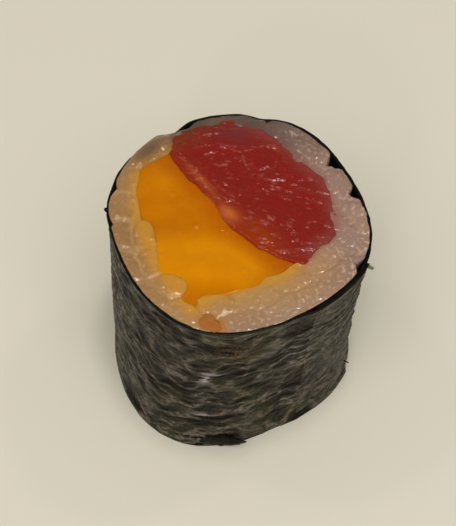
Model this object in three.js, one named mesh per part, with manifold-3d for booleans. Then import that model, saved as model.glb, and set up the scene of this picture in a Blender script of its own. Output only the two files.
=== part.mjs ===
// One cut piece of thin sushi roll, standing on its foot. A sheet of seaweed laps once round a ring
// of rice, and the rice holds a strip of mango and a strip of raw tuna that run through the piece.
// Millimetres, +Z up, the foot on Z = 0, the origin under the middle. Angles are in degrees, from +X
// towards +Y, and -Y is the side that faces the camera.
import * as THREE from 'three';
import { mergeVertices } from 'three/addons/utils/BufferGeometryUtils.js';
import Module from 'manifold-3d';

const wasm = await Module();
wasm.setup();

// ---- Driving dimensions -----------------------------------------------------------------------

const HEIGHT = 22; // foot to rim, as the knife cut it
const CLEAR = 0.3; // free space between neighbouring pieces
const OVER = 2; // how far a cutting shape reaches past the rim

// A roll that a bamboo mat has pressed is no circle. Its outline is a mean radius with an oval and
// waves of three to five corners, each with its height and the angle where it is highest.
const RIM = {
  centre: [0.12, 0.13],
  radius: 13.8,
  waves: [
    { corners: 2, height: 0.49, at: 103 },
    { corners: 3, height: 0.15, at: 3 },
    { corners: 4, height: 0.34, at: 71 },
    { corners: 5, height: 0.09, at: 52 },
  ],
};
const FOOT = {
  centre: [-0.83, -0.07],
  radius: 13.5,
  waves: [
    { corners: 2, height: 0.49, at: 67 },
    { corners: 3, height: 0.36, at: -4 },
    { corners: 4, height: 0.31, at: 72 },
  ],
};
// Half way up, the wall swells out on the left and is drawn in on the right.
const BELLY = { mean: -0.1, waves: [{ corners: 1, height: 0.28, at: 165 }] };

// Where the seaweed is pinched in at the back of the rim, or pushed out by the grains behind it,
// with a negative depth. The dents fade out below it.
const DENTS = [
  { at: 79, spread: 6, depth: 0.4 },
  { at: 120, spread: 6, depth: 0.65 },
  { at: 128, spread: 5, depth: -0.3 },
  { at: 176, spread: 8, depth: -0.2 },
];
const DENT_REACH = 9;

const SHEET = {
  thickness: 0.3,
  flapEdge: 341, // the free edge on the outside, near the right-hand outline
  lap: 36, // the arc on which the sheet lies on its own start
  climb: 13, // the arc on which it climbs on to its start
  lapAir: 0.12, // air between the two layers
  flapLift: 0.12, // how far the free edge stands off at the rim
  steps: 78,
  levels: 9,
};
const RIM_WAVES = [
  { corners: 3, height: 0.09, at: 23 },
  { corners: 8, height: 0.06, at: 11 },
];
// The rim dips under the long grain that lies over it.
const RIM_DIP = { at: 137, spread: 15, depth: 0.55 };
// Wrinkles one above the other that sway up and down round the wall, and upright lumps.
const WRINKLES = {
  depth: 0.065,
  pitch: 5.5,
  sway: [{ corners: 2, height: 2.2, at: 45 }, { corners: 5, height: 1.4, at: 7 }],
};
const LUMPS = { depth: 0.035, count: 11, twist: 1.3, pitch: 12.5 };

// The two fillings meet on one line, from the back left to the front right of the cut face.
const MEETING_LINE = [
  [-7.2, 9.2], [-5.6, 6.0], [-4.1, 4.1], [-2.7, 2.3], [-1.3, -0.2], [0.8, -2.4], [3.0, -4.1],
  [5.8, -5.5],
];
// The side of each filling that the rice holds.
const TUNA_BACK = [
  [6.8, -5.5], [8.1, -3.7], [9.6, -2.4], [10.0, -0.2], [8.8, 4.7], [7.1, 6.7], [5.3, 9.2],
  [1.9, 11.9], [-0.8, 12.9], [-2.6, 12.1], [-4.6, 11.8], [-6.7, 10.8],
];
const MANGO_BACK = [
  [-8.6, 8.0], [-10.1, 6.3], [-10.5, 3.4], [-10.2, 0.3], [-9.4, -2.8], [-8.3, -6.0],
  [-6.6, -8.6], [-5.2, -10.7], [-4.2, -11.5], [-3.0, -10.2], [-0.8, -9.5], [2.5, -8.0], [4.7, -7.2],
  [5.8, -6.2],
];
const OUTLINE_STEPS = 3; // points on an outline for each of its control points
const CUT_CELLS = 20; // squares along each side of an uneven cut
// The top edge of a filling: how deep its bevel starts, and how far it narrows at the cut.
const BEVEL = { depth: 0.45, narrowing: 0.05 };
const SQUARE_EDGE = { depth: OVER, narrowing: 0 };

// The mango's cut face is two soft swells, the tuna's a quilt of them. The pitches are in mm.
const MANGO_CUT = { level: -0.1, swell: 0.25, pitch: 9.5, heading: 70, start: 35 };
const TUNA_CUT = { level: 0.05, swell: 0.2, along: 7.6, across: 10.8, heading: 25 };

// A scrap of mango that shows between the grains at the front of the rim.
const SCRAP = { angle: 258, from: 12.75, length: 2.9, width: 1.6, height: 1.9, sunk: 0.75 };

// A cooked grain of short rice. Its profile is how thick it is at each share of its half length.
const GRAIN = { length: 5.2, width: 2.4, sides: 6 };
const GRAIN_PROFILE = [[0, -1], [0.78, -0.7], [1, 0], [0.78, 0.7], [0, 1]];

const RICE = {
  coreSunk: 0.95, // how far the bare core stays below the cut
  knife: 0.22, // how far above the cut the knife took the tops off the ordinary grains
  inmost: 7, // the least distance of a grain from the roll's axis
  spacing: 2.35, // between the middles of two grains
  toFilling: 0.75, // from a grain's middle to a filling
  toSeaweed: 1.0, // and to the seaweed
  throws: 900,
  steps: 60,
};
// How much the thrown grains differ: sizes as a share, angles in degrees, the lift in mm.
const THROWN = {
  turn: [-35, 35], longer: [0.8, 1.15], wider: [0.9, 1.15], pitch: [-12, 12], roll: [0, 60],
  lift: [-0.8, -0.4],
};

// Grains that the photograph shows whole: the angle and distance of the middle on the cut face, the
// turn off the wall's own direction, length, width and how far the middle lies above the cut.
const SHOWN_GRAINS = [
  { angle: 137, from: 12.7, turn: 0, length: 6.4, width: 2.3, lift: -0.3 }, // long, over the rim
  { angle: 157, from: 12.2, turn: 8, length: 4.0, width: 2.4, lift: -0.6 },
  { angle: 174, from: 12.0, turn: -4, length: 4.0, width: 2.6, lift: -0.6 },
  { angle: 191, from: 12.1, turn: 2, length: 4.2, width: 2.4, lift: -0.75 },
  { angle: 195, from: 9.7, turn: -5, length: 4.4, width: 2.3, lift: -0.45 },
  { angle: 212, from: 10.3, turn: -16, length: 4.2, width: 2.3, lift: -0.4 },
  { angle: 208, from: 12.5, turn: 0, length: 4.9, width: 2.2, lift: -0.7 },
  { angle: 232, from: 10.8, turn: 20, length: 3.4, width: 3.0, lift: -0.6 },
  { angle: 229, from: 12.9, turn: 4, length: 4.8, width: 2.2, lift: -0.75 },
  { angle: 246, from: 12.7, turn: -8, length: 4.2, width: 2.4, lift: -0.65 },
  { angle: 260, from: 11.0, turn: 6, length: 4.4, width: 2.6, lift: -0.45 },
  { angle: 273, from: 12.8, turn: -3, length: 4.8, width: 2.3, lift: -0.65 },
  { angle: 330, from: 10.2, turn: -13, length: 5.2, width: 2.6, lift: -0.6 },
  { angle: 0, from: 12.1, turn: -5, length: 4.4, width: 2.4, lift: -0.65 },
  { angle: 23, from: 11.3, turn: 4, length: 4.6, width: 2.4, lift: -0.6 },
  { angle: 40, from: 11.9, turn: -12, length: 3.4, width: 2.2, lift: -0.65 },
  { angle: 51, from: 11.6, turn: -12, length: 4.8, width: 2.3, lift: -0.6 },
  { angle: 67, from: 13.0, turn: 0, length: 5.0, width: 1.9, lift: -0.8 },
];

// Dark holes between the rice and the seaweed: the angle, the arc, the width and the depth.
const HOLES = [
  { angle: 36, arc: 11, width: 1.5, depth: 2.4 },
  { angle: 15, arc: 9, width: 1.1, depth: 2.2 },
  { angle: 334, arc: 9, width: 0.8, depth: 2.6 },
];
const HOLE_TAPER = 0.4; // how wide a hole's floor is, as a share of its mouth

const SEAWEED_LOOK = { color: 0x1d1f18, roughness: 0.55, metalness: 0 };
const RICE_LOOK = { color: 0xc9b8a2, roughness: 0.35, metalness: 0 };
const MANGO_LOOK = { color: 0xd98a06, roughness: 0.3, metalness: 0 };
const TUNA_LOOK = { color: 0x8c1f1d, roughness: 0.35, metalness: 0 };

// ---- The roll's own outline -------------------------------------------------------------------

const radians = THREE.MathUtils.degToRad;
const degrees = THREE.MathUtils.radToDeg;
const { lerp, smoothstep } = THREE.MathUtils;
const polar = ({ angle, from }) => [from * Math.cos(radians(angle)), from * Math.sin(radians(angle))];

// Waves that repeat `corners` times round the roll.
function sumOfWaves(waves, angle) {
  const wave = ({ corners, height, at }) => height * Math.cos(corners * radians(angle - at));
  return waves.reduce((sum, w) => sum + wave(w), 0);
}

// A bump that is 1 at the angle `at` and falls to about a third one spread away.
function bump(angle, { at, spread }) {
  const off = ((angle - at + 540) % 360) - 180;
  return Math.exp(-((off / spread) ** 2));
}

// The outside of a single layer of seaweed, at one angle and height. It goes straight on above the
// rim.
function rollRadius(angle, z) {
  const up = Math.min(1, z / HEIGHT);
  const foot = FOOT.radius + sumOfWaves(FOOT.waves, angle);
  const rim = RIM.radius + sumOfWaves(RIM.waves, angle);
  const fade = Math.max(0, 1 - (HEIGHT * (1 - up)) / DENT_REACH) ** 2;
  const dent = DENTS.reduce((sum, d) => sum + d.depth * bump(angle, d), 0);
  const belly = BELLY.mean + sumOfWaves(BELLY.waves, angle);
  return lerp(foot, rim, up) + belly * Math.sin(Math.PI * up) - dent * fade;
}

// A point at one angle and height, `inward` inside that surface.
function rollPoint(angle, z, inward = 0) {
  const up = Math.min(1, z / HEIGHT);
  const r = rollRadius(angle, z) - inward;
  return new THREE.Vector3(
    lerp(FOOT.centre[0], RIM.centre[0], up) + r * Math.cos(radians(angle)),
    lerp(FOOT.centre[1], RIM.centre[1], up) + r * Math.sin(radians(angle)),
    z,
  );
}

// Carries a place on the cut face down the roll, which leans and narrows towards its foot.
function carry([x, y], z) {
  const angle = degrees(Math.atan2(y, x));
  const share = Math.hypot(x, y) / rollRadius(angle, HEIGHT);
  return rollPoint(angle, z, (1 - share) * rollRadius(angle, z));
}

// ---- Solids ------------------------------------------------------------------------------------

function geometryFrom(points, index) {
  const geometry = new THREE.BufferGeometry().setFromPoints(points);
  geometry.setIndex(index);
  return geometry;
}

// A closed BufferGeometry as a manifold-3d solid.
function solidOf(geometry) {
  const bare = new THREE.BufferGeometry();
  bare.setAttribute('position', geometry.getAttribute('position'));
  bare.setIndex(geometry.getIndex());
  const merged = mergeVertices(bare);
  return new wasm.Manifold(new wasm.Mesh({
    numProp: 3,
    vertProperties: new Float32Array(merged.getAttribute('position').array),
    triVerts: new Uint32Array(merged.getIndex().array),
  }));
}

// The largest body of a solid as a named mesh. Loose crumbs that a cut left are dropped.
function meshOf(name, solid, look) {
  const [body] = solid.decompose().sort((a, b) => b.volume() - a.volume());
  const { vertProperties, triVerts } = body.getMesh();
  const geometry = new THREE.BufferGeometry();
  geometry.setAttribute('position', new THREE.BufferAttribute(vertProperties, 3));
  geometry.setIndex(new THREE.BufferAttribute(triVerts, 1));
  const mesh = new THREE.Mesh(geometry, new THREE.MeshStandardMaterial(look));
  mesh.name = name;
  return mesh;
}

// A solid through closed rings of points, listed from the bottom up and anticlockwise from above.
function loft(rings) {
  const n = rings[0].length;
  const index = [];
  for (let level = 0; level + 1 < rings.length; level += 1) {
    for (let i = 0; i < n; i += 1) {
      const a = level * n + i;
      const b = level * n + ((i + 1) % n);
      index.push(a, b, b + n, a, b + n, a + n);
    }
  }
  const lid = (ring, start, facesUp) => {
    const flat = ring.map((p) => new THREE.Vector2(p.x, p.y));
    THREE.ShapeUtils.triangulateShape(flat, []).forEach(([a, b, c]) => {
      index.push(start + a, start + (facesUp ? b : c), start + (facesUp ? c : b));
    });
  };
  lid(rings[0], 0, false);
  lid(rings.at(-1), (rings.length - 1) * n, true);
  return solidOf(geometryFrom(rings.flat(), index));
}

// The space inside the roll between two heights, `inward` from the outside of the seaweed.
function insideOfRoll(inward, bottom, top, levels) {
  const rings = [];
  for (let level = 0; level <= levels; level += 1) {
    const z = lerp(bottom, top, level / levels);
    const point = (_, i) => rollPoint((360 * i) / RICE.steps, z, inward);
    rings.push(Array.from({ length: RICE.steps }, point));
  }
  return loft(rings);
}

// Everything below a cut face, whose height is a function of the place on it.
function belowCut(heightAt, cells) {
  const side = 2 * (RIM.radius + OVER);
  const box = new THREE.BoxGeometry(side, side, 2 * HEIGHT, cells, cells, 1);
  const place = box.getAttribute('position');
  for (let i = 0; i < place.count; i += 1) {
    if (place.getZ(i) > 0) place.setZ(i, heightAt(place.getX(i), place.getY(i)));
  }
  return solidOf(box);
}

// ---- Seaweed -----------------------------------------------------------------------------------

const rimHeight = (angle) => HEIGHT + sumOfWaves(RIM_WAVES, angle)
  - RIM_DIP.depth * bump(angle, RIM_DIP);

// How far the wall stands out of its smooth form. It is smooth again at the rim and the foot.
function relief(angle, z) {
  const wrinkle = Math.sin((2 * Math.PI * z) / WRINKLES.pitch + sumOfWaves(WRINKLES.sway, angle));
  const twist = LUMPS.twist * Math.sin((2 * Math.PI * z) / LUMPS.pitch);
  const lump = Math.sin(LUMPS.count * radians(angle) + twist);
  const fade = Math.sin(Math.PI * Math.min(1, z / HEIGHT));
  return (WRINKLES.depth * wrinkle + LUMPS.depth * lump) * fade;
}

// The sheet starts inside, goes once round the roll and ends on the outside of its own start.
function sheetPoint(turned, share, inward) {
  const { flapEdge, lap, climb, thickness, lapAir, flapLift } = SHEET;
  const angle = flapEdge - 360 - lap + turned;
  const z = share * rimHeight(angle);
  const climbed = smoothstep(turned, 360 - climb, 360) * (thickness + lapAir);
  const lifted = flapLift * smoothstep(turned, 360 + lap / 2, 360 + lap) * share ** 2;
  return rollPoint(angle, z, inward - climbed - lifted - relief(angle, z));
}

function seaweed() {
  const { thickness, lap, steps, levels } = SHEET;
  const points = [];
  for (const inward of [0, thickness]) {
    for (let i = 0; i <= steps; i += 1) {
      for (let j = 0; j <= levels; j += 1) {
        points.push(sheetPoint((i / steps) * (360 + lap), j / levels, inward));
      }
    }
  }
  const outer = (i, j) => i * (levels + 1) + j;
  const inner = (i, j) => (steps + 1) * (levels + 1) + outer(i, j);
  const index = [];
  const quad = (a, b, c, d) => index.push(a, b, c, a, c, d);
  for (let i = 0; i < steps; i += 1) {
    for (let j = 0; j < levels; j += 1) {
      quad(outer(i, j), outer(i + 1, j), outer(i + 1, j + 1), outer(i, j + 1));
      quad(inner(i, j), inner(i, j + 1), inner(i + 1, j + 1), inner(i + 1, j));
    }
    quad(outer(i, levels), outer(i + 1, levels), inner(i + 1, levels), inner(i, levels));
    quad(outer(i, 0), inner(i, 0), inner(i + 1, 0), outer(i + 1, 0));
  }
  for (let j = 0; j < levels; j += 1) {
    quad(outer(0, j), outer(0, j + 1), inner(0, j + 1), inner(0, j));
    quad(outer(steps, j), inner(steps, j), inner(steps, j + 1), outer(steps, j + 1));
  }
  return solidOf(geometryFrom(points, index));
}

// ---- Fillings ----------------------------------------------------------------------------------

const TUNA_OUTLINE = [...TUNA_BACK, ...MEETING_LINE];
const MANGO_OUTLINE = [...MANGO_BACK, ...MEETING_LINE.toReversed()];

// A smooth closed outline through its control points, moved `outward` along its own normals.
function outlineThrough(control, outward) {
  const curve = new THREE.CatmullRomCurve3(
    control.map(([x, y]) => new THREE.Vector3(x, y, 0)), true, 'catmullrom', 0.5,
  );
  const points = curve.getPoints(control.length * OUTLINE_STEPS).slice(0, -1);
  return points.map((p, i) => {
    const along = points[(i + 1) % points.length].clone().sub(points.at(i - 1)).normalize();
    return [p.x + along.y * outward, p.y - along.x * outward];
  });
}

// A strip that follows the roll's lean, from the foot to above the rim. Its top edge narrows
// towards its own middle.
function strip(control, outward, { depth, narrowing }) {
  const outline = outlineThrough(control, outward);
  const middle = [0, 1].map((k) => outline.reduce((sum, p) => sum + p[k] / outline.length, 0));
  const narrowed = outline.map((p) => p.map((v, k) => lerp(v, middle[k], 2 * narrowing)));
  const ring = (points, z) => points.map((p) => carry(p, z));
  return loft([
    ring(outline, 0),
    ring(outline, HEIGHT / 2),
    ring(outline, HEIGHT - depth),
    ring(narrowed, HEIGHT + depth),
  ]);
}

// A sine wave over the cut face that runs along a heading.
function swellAt([x, y], heading, pitch, start = 0) {
  const along = x * Math.cos(radians(heading)) + y * Math.sin(radians(heading));
  return Math.sin((2 * Math.PI * along) / pitch + radians(start));
}

function mangoCut(x, y) {
  const { level, swell, pitch, heading, start } = MANGO_CUT;
  return HEIGHT + level + swell * swellAt([x, y], heading, pitch, start);
}

function tunaCut(x, y) {
  const { level, swell, along, across, heading } = TUNA_CUT;
  const quilt = swellAt([x, y], heading, along) * swellAt([x, y], heading + 90, across, 90);
  return HEIGHT + level + swell * quilt;
}

// ---- Rice --------------------------------------------------------------------------------------

// Draws numbers in a range. The same seed always gives the same ones.
function dice(seed) {
  let state = seed;
  return ([low, high]) => {
    state = (Math.imul(state, 1664525) + 1013904223) >>> 0;
    return lerp(low, high, state / 2 ** 32);
  };
}

// A plump body along X round the origin, with blunt ends.
function grainGeometry(length, width) {
  const profile = GRAIN_PROFILE.map(
    ([thick, along]) => new THREE.Vector2((thick * width) / 2, (along * length) / 2),
  );
  return new THREE.LatheGeometry(profile, GRAIN.sides).rotateZ(-Math.PI / 2);
}

// A grain that lies on the cut at height z, made `extra` fatter all round.
function layGrain(grain, z, extra = 0) {
  const place = carry(polar(grain), z);
  const geometry = grainGeometry(grain.length + 2 * extra, grain.width + 2 * extra);
  geometry.rotateX(radians(grain.roll ?? 0));
  geometry.rotateY(radians(grain.pitch ?? 0));
  geometry.rotateZ(radians(grain.angle + 90 + grain.turn));
  geometry.translate(place.x, place.y, z + grain.lift);
  return solidOf(geometry);
}

function isInside([x, y], outline) {
  let inside = false;
  outline.forEach(([ax, ay], i) => {
    const [bx, by] = outline[(i + 1) % outline.length];
    if (ay > y !== by > y && x < ax + ((y - ay) / (by - ay)) * (bx - ax)) inside = !inside;
  });
  return inside;
}

// Throws grains at the cut face. One stays where it meets rice and keeps its distance from the
// fillings, the seaweed and the grains that lie there already.
function thrownGrains(seed, placed) {
  const draw = dice(seed);
  const fillings = [outlineThrough(TUNA_OUTLINE, 0), outlineThrough(MANGO_OUTLINE, 0)];
  const middles = placed.map(polar);
  const kept = [];
  for (let i = 0; i < RICE.throws; i += 1) {
    const grain = {
      angle: draw([0, 360]),
      from: draw([RICE.inmost, RIM.radius]),
      turn: draw(THROWN.turn),
      length: GRAIN.length * draw(THROWN.longer),
      width: GRAIN.width * draw(THROWN.wider),
      pitch: draw(THROWN.pitch),
      roll: draw(THROWN.roll),
      lift: draw(THROWN.lift),
    };
    const middle = polar(grain);
    const isClear = (places, least) => places.every(
      ([x, y]) => Math.hypot(middle[0] - x, middle[1] - y) > least,
    );
    const wall = rollRadius(grain.angle, HEIGHT) - SHEET.thickness - RICE.toSeaweed;
    const onRice = fillings.every((f) => !isInside(middle, f) && isClear(f, RICE.toFilling));
    if (grain.from < wall && onRice && isClear(middles, RICE.spacing)) {
      middles.push(middle);
      kept.push(grain);
    }
  }
  return kept;
}

// A dark hole beside the seaweed, as the wedge that it takes out of the rice.
function holeSolid({ angle, arc, width, depth }) {
  const ring = (z, share) => [
    rollPoint(angle - (arc / 2) * share, z, SHEET.thickness),
    rollPoint(angle + (arc / 2) * share, z, SHEET.thickness),
    rollPoint(angle, z, SHEET.thickness + CLEAR + width * share),
  ];
  return loft([ring(HEIGHT - depth, HOLE_TAPER), ring(HEIGHT + OVER, 1)]);
}

function scrapOfMango(extra) {
  const { angle, length, width, height, sunk } = SCRAP;
  const place = carry(polar(SCRAP), HEIGHT);
  const geometry = grainGeometry(length + 2 * extra, width + 2 * extra);
  geometry.scale(1, 1, (height + 2 * extra) / (width + 2 * extra));
  geometry.rotateZ(radians(angle + 90));
  geometry.translate(place.x, place.y, place.z - sunk);
  return solidOf(geometry);
}

// A core with a bed of grains fused on at both cuts. The knife took off the tops of the thrown
// grains, and the shown ones lie on top.
function rice(shown) {
  const { union } = wasm.Manifold;
  const inward = SHEET.thickness + CLEAR;
  const core = insideOfRoll(inward, RICE.coreSunk, HEIGHT - RICE.coreSunk, 4);
  const topGrains = thrownGrains(7, SHOWN_GRAINS).map((g) => layGrain(g, HEIGHT));
  const footGrains = thrownGrains(19, []).map((g) => layGrain({ ...g, lift: -g.lift }, 0));
  const fillings = [TUNA_OUTLINE, MANGO_OUTLINE].map((o) => strip(o, CLEAR / 2, SQUARE_EDGE));
  const bed = union([core, ...topGrains, ...footGrains])
    .intersect(belowCut(() => HEIGHT + RICE.knife, 1))
    .subtract(union([...fillings, ...HOLES.map(holeSolid)]));
  return union([bed, ...shown])
    .intersect(insideOfRoll(inward, 0, HEIGHT + OVER, 6))
    .subtract(scrapOfMango(CLEAR));
}

// ---- The roll ----------------------------------------------------------------------------------

const shownGrains = SHOWN_GRAINS.map((g) => layGrain(g, HEIGHT));
const roomForGrains = wasm.Manifold.union(SHOWN_GRAINS.map((g) => layGrain(g, HEIGHT, CLEAR)));

const mango = strip(MANGO_OUTLINE, -CLEAR / 2, BEVEL)
  .intersect(belowCut(mangoCut, CUT_CELLS))
  .subtract(roomForGrains);
const tuna = strip(TUNA_OUTLINE, -CLEAR / 2, BEVEL)
  .intersect(belowCut(tunaCut, CUT_CELLS))
  .subtract(roomForGrains);

const roll = new THREE.Group();
roll.add(meshOf('seaweed', seaweed(), SEAWEED_LOOK));
roll.add(meshOf('rice', rice(shownGrains), RICE_LOOK));
roll.add(meshOf('mango', mango, MANGO_LOOK));
roll.add(meshOf('tuna', tuna, TUNA_LOOK));
roll.add(meshOf('mango_scrap', scrapOfMango(0).subtract(roomForGrains), MANGO_LOOK));

export default roll;
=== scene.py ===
# %% [markdown]
# # One cut piece of thin sushi roll
#
# The roll stands on its cut foot. A sheet of nori goes round a ring of rice, and the rice holds a
# strip of mango and a strip of raw tuna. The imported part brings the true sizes, and this script
# dresses it. Shapes are worked out in millimetres, because rice and nori are measured in tenths of
# a millimetre, and each mesh is scaled to metres when it is finished.

import bpy
import numpy as np
from mathutils import Matrix, Vector, noise


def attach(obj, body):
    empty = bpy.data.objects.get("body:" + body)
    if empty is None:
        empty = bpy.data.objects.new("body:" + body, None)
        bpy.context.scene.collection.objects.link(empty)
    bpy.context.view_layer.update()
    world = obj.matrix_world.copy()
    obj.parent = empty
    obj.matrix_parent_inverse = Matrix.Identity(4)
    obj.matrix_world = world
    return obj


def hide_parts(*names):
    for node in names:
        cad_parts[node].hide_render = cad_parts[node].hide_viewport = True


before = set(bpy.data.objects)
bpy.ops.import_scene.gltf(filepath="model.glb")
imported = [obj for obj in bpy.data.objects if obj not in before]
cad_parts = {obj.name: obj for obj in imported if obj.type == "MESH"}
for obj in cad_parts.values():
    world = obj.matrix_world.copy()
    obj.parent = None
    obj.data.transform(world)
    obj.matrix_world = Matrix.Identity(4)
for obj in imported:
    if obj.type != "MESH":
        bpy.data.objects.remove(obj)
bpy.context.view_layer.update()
MM = 0.001
print("nodes", sorted(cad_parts))

# %% [markdown]
# ## Camera
#
# The roll was looked at from in front and well above, through a long lens. The camera's place is
# worked out from the angle above the horizon, the distance and the point that it looks at.

# %% The camera
ELEVATION = np.radians(54)
DISTANCE = 160
LOOK_AT = Vector((-0.87, -5.61, 22.0))
FOCAL_PIXELS = 1605
PICTURE_HEIGHT = 526

camera = bpy.data.objects.new("camera", bpy.data.cameras.new("camera"))
camera.data.lens = FOCAL_PIXELS / PICTURE_HEIGHT * camera.data.sensor_width
back = Vector((0, -np.cos(ELEVATION), np.sin(ELEVATION)))
camera.location = (LOOK_AT + DISTANCE * back) * MM
camera.rotation_euler = (np.pi / 2 - ELEVATION, 0, 0)
camera.data.clip_start = 0.01
bpy.context.scene.collection.objects.link(camera)
bpy.context.scene.camera = camera
print("lens", round(camera.data.lens, 1), "mm")

# %% [markdown]
# ## The roll's own outline
#
# A bamboo mat presses a roll into something between a circle and a soft square. Its radius can be
# written as a mean and a few waves that repeat two to five times round it. The foot is smaller
# than the rim and lies a little to the left, so the roll leans. All the pieces below are placed
# with these functions, so they fit each other at every height.

# %% Outline values
HEIGHT = 22.0
RIM_CENTRE, RIM_RADIUS = np.array([0.12, 0.13]), 13.8
RIM_OUTLINE = [(2, 0.49, 103), (3, 0.15, 3), (4, 0.34, 71), (5, 0.09, 52)]
FOOT_CENTRE, FOOT_RADIUS = np.array([-0.83, -0.07]), 13.5
FOOT_OUTLINE = [(2, 0.49, 67), (3, 0.36, -4), (4, 0.31, 72)]
BELLY_MEAN, BELLY_OUTLINE = -0.1, [(1, 0.28, 165)]
# Angle, spread and depth of each dent in the rim, and how far down they reach.
DENTS = [(79, 6, 0.4), (120, 6, 0.65), (128, 5, -0.3), (176, 8, -0.2)]
DENT_REACH = 9
print("roll", HEIGHT, "mm high,", 2 * RIM_RADIUS, "across the rim,", 2 * FOOT_RADIUS, "across the foot")


# %% Outline functions
def unit(angle):
    """A step of length 1 on the cut face, along an angle in degrees."""
    return np.stack([np.cos(np.radians(angle)), np.sin(np.radians(angle))], -1)


def along_and_across(steps, heading):
    """Steps on the cut face, told along a heading and across it."""
    c, s = unit(heading)
    return steps @ [c, s], steps @ [-s, c]


def turned_from(angle, at):
    """How far an angle is from another one, -180 to 180 degrees."""
    return (angle - at + 540) % 360 - 180


def wave_sum(waves, angle):
    """Waves given as how often they repeat round the roll, their height and where they peak."""
    return sum(height * np.cos(count * np.radians(angle - at)) for count, height, at in waves)


def bump(angle, at, spread):
    """1 at one angle, about a third one spread away."""
    return np.exp(-((turned_from(angle, at) / spread) ** 2))


def smoothstep(value, low, high):
    t = np.clip((value - low) / (high - low), 0, 1)
    return t * t * (3 - 2 * t)


def mix(a, b, share):
    return a + (b - a) * share


def roll_radius(angle, z):
    up = np.minimum(1, z / HEIGHT)
    foot = FOOT_RADIUS + wave_sum(FOOT_OUTLINE, angle)
    rim = RIM_RADIUS + wave_sum(RIM_OUTLINE, angle)
    belly = (BELLY_MEAN + wave_sum(BELLY_OUTLINE, angle)) * np.sin(np.pi * up)
    fade = np.maximum(0, 1 - HEIGHT * (1 - up) / DENT_REACH) ** 2
    dents = sum(depth * bump(angle, at, spread) for at, spread, depth in DENTS)
    return mix(foot, rim, up) + belly - dents * fade


def axis_at(z):
    """The middle of the leaning roll at a height."""
    up = np.minimum(1, np.asarray(z, float) / HEIGHT)
    return mix(FOOT_CENTRE, RIM_CENTRE, up[..., None])


def roll_point(angle, z, inward=0.0):
    """A place on the outside of the nori, or that far inside it."""
    angle, z, inward = np.broadcast_arrays(np.asarray(angle, float), z, inward)
    radius = roll_radius(angle, z) - inward
    return np.concatenate([axis_at(z) + radius[..., None] * unit(angle), z[..., None]], -1)


def carry(places, z):
    """Carries places on the cut face down the roll, which leans and narrows towards its foot."""
    angle = np.degrees(np.arctan2(places[..., 1], places[..., 0]))
    share = np.hypot(places[..., 0], places[..., 1]) / roll_radius(angle, HEIGHT)
    return roll_point(angle, z, (1 - share) * roll_radius(angle, z))


def places_of(points):
    """The other way: where on the cut face a point belongs, its angle and its share of the radius."""
    off = points[:, :2] - axis_at(points[:, 2])
    angle = np.degrees(np.arctan2(off[:, 1], off[:, 0]))
    share = np.hypot(off[:, 0], off[:, 1]) / roll_radius(angle, points[:, 2])
    return (share * roll_radius(angle, HEIGHT))[:, None] * unit(angle), angle, share


print("rim", np.round(roll_point(np.arange(0, 360, 90), HEIGHT)[:, :2].tolist(), 2).tolist())

# %% [markdown]
# ## Tools for meshes
#
# Everything here is either a skin through rings of points or a grid, so one helper makes each.
# Noise from mathutils gives the unevenness of food. It has no random state, so it is the same in
# every run.


# %% Skins, grids and objects
def skin(rings, first, last):
    """A closed skin through anticlockwise rings, listed upwards, with one point at each end."""
    rings = np.asarray(rings, float)
    levels, n, _ = rings.shape
    points = np.vstack([first, rings.reshape(-1, 3), last])
    level, i = np.meshgrid(np.arange(levels - 1), np.arange(n), indexing="ij")
    a, b = 1 + level * n + i, 1 + level * n + (i + 1) % n
    quads = np.stack([a, b, b + n, a + n], -1).reshape(-1, 4)
    i, j = np.arange(n), (np.arange(n) + 1) % n
    top = 1 + (levels - 1) * n
    end = len(points) - 1
    fans = [(0, 1 + q, 1 + p) for p, q in zip(i, j)] + [(end, top + p, top + q) for p, q in zip(i, j)]
    return points, quads.tolist() + fans


def grid_faces(columns, rows, start=0, flip=False):
    """Quads over an open grid of points stored column by column."""
    i, j = np.meshgrid(np.arange(columns - 1), np.arange(rows - 1), indexing="ij")
    a = start + i * rows + j
    quads = np.stack([a, a + rows, a + rows + 1, a + 1], -1).reshape(-1, 4)
    return (quads[:, ::-1] if flip else quads).tolist()


def join(parts):
    """Several (points, faces) as one."""
    points, faces, start = [], [], 0
    for part_points, part_faces in parts:
        points.append(part_points)
        faces += [tuple(start + v for v in face) for face in part_faces]
        start += len(part_points)
    return np.vstack(points), faces


def new_object(name, points, faces):
    mesh = bpy.data.meshes.new(name)
    mesh.from_pydata(np.asarray(points, float).tolist(), [], faces)
    piece = bpy.data.objects.new(name, mesh)
    bpy.context.scene.collection.objects.link(piece)
    return piece


def apply_modifier(piece, kind, **settings):
    """Adds one modifier, keeps its result as the mesh and takes the modifier away."""
    modifier = piece.modifiers.new(kind.lower(), kind)
    for key, value in settings.items():
        setattr(modifier, key, value)
    graph = bpy.context.evaluated_depsgraph_get()
    made = bpy.data.meshes.new_from_object(piece.evaluated_get(graph))
    piece.modifiers.clear()
    old, piece.data = piece.data, made
    bpy.data.meshes.remove(old)


def read_rows(items, key):
    flat = np.empty(len(items) * 3, np.float32)
    items.foreach_get(key, flat)
    return flat.reshape(-1, 3).astype(float)


def points_of(piece):
    return read_rows(piece.data.vertices, "co")


def normals_of(piece):
    return read_rows(piece.data.vertex_normals, "vector")


def set_points(piece, points):
    piece.data.vertices.foreach_set("co", np.asarray(points, np.float32).ravel())
    piece.data.update()


def parts_of(piece):
    """An object's mesh as (points, faces), and the object is gone."""
    result = points_of(piece), [tuple(face.vertices) for face in piece.data.polygons]
    bpy.data.objects.remove(piece)
    return result


def paint(piece, name, values):
    """Keeps one number for each point, for the material to read."""
    layer = piece.data.attributes.new(name, "FLOAT", "POINT")
    layer.data.foreach_set("value", np.asarray(values, np.float32))


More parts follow.
